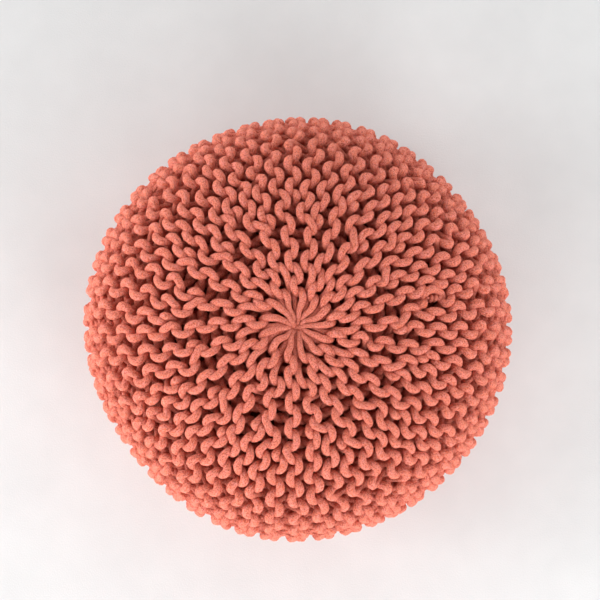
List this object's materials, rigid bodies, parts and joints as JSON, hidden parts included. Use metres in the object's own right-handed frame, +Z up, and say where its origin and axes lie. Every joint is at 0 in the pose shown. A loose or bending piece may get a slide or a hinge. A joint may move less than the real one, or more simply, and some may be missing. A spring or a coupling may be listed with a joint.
{
  "type": "knitted pouf",
  "caption": "Round, firmly filled floor pouf in a thick-yarn knitted cover, ridged from the gathered middle of its top down over its bulging side to a flat base.",
  "frame": {"origin": "middle of the flat base, on the floor", "axes": "+Z up through the gathered middle of the top; +X is the right and +Y the top of the picture, which looks straight down"},
  "size_m": [0.5076, 0.5031, 0.3029],
  "materials": {
    "coral_yarn": "matte thick cotton yarn, softly fuzzy, knitted in garter stitch with dark gaps between the stitches",
    "inner_bag": "plain dark brown woven bag that holds the filling, seen only through the gaps between stitches"
  },
  "bodies": {
    "root": {"knitted_pouf": "coral_yarn"}
  },
  "joints": []
}
